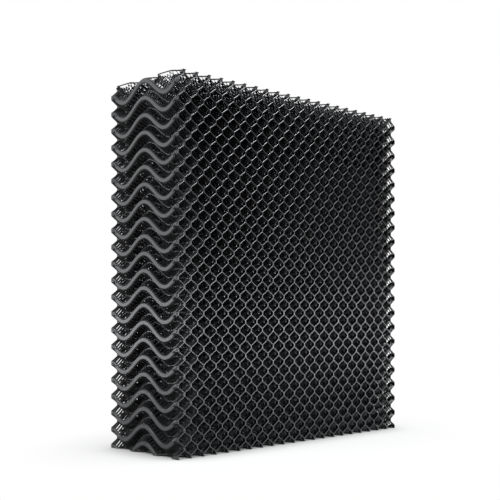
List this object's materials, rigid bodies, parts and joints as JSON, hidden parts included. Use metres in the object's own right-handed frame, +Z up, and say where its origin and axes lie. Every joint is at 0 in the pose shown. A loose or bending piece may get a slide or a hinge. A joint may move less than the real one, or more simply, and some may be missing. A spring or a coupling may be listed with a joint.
{
  "type": "evaporative cooling pad",
  "caption": "Upright black plastic cooling pad of folded net sheets clipped side by side, with wavy six-sided flutes that air and water pass through.",
  "frame": {"origin": "middle of the bottom, on the floor", "axes": "+Z up the pad, +X along its length from sheet to sheet, +Y through its thickness from the front face to the back face"},
  "size_m": [0.4618, 0.15, 0.511],
  "materials": {
    "black_plastic": "satin"
  },
  "bodies": {
    "root": {"net_sheet_01": "black_plastic", "net_sheet_02": "black_plastic", "net_sheet_03": "black_plastic", "net_sheet_04": "black_plastic", "net_sheet_05": "black_plastic", "net_sheet_06": "black_plastic", "net_sheet_07": "black_plastic", "net_sheet_08": "black_plastic", "net_sheet_09": "black_plastic", "net_sheet_10": "black_plastic", "net_sheet_11": "black_plastic", "net_sheet_12": "black_plastic", "net_sheet_13": "black_plastic", "net_sheet_14": "black_plastic", "net_sheet_15": "black_plastic", "net_sheet_16": "black_plastic", "net_sheet_17": "black_plastic", "net_sheet_18": "black_plastic", "net_sheet_19": "black_plastic", "net_sheet_20": "black_plastic", "net_sheet_21": "black_plastic", "net_sheet_22": "black_plastic", "net_sheet_23": "black_plastic", "net_sheet_24": "black_plastic", "net_sheet_25": "black_plastic", "net_sheet_26": "black_plastic", "net_sheet_27": "black_plastic", "net_sheet_28": "black_plastic", "net_sheet_29": "black_plastic", "net_sheet_30": "black_plastic", "net_sheet_31": "black_plastic", "net_sheet_32": "black_plastic", "net_sheet_33": "black_plastic", "net_sheet_34": "black_plastic", "net_sheet_35": "black_plastic", "net_sheet_36": "black_plastic", "net_sheet_37": "black_plastic", "net_sheet_38": "black_plastic", "net_sheet_39": "black_plastic", "net_sheet_40": "black_plastic", "net_sheet_41": "black_plastic", "net_sheet_42": "black_plastic"}
  },
  "joints": []
}
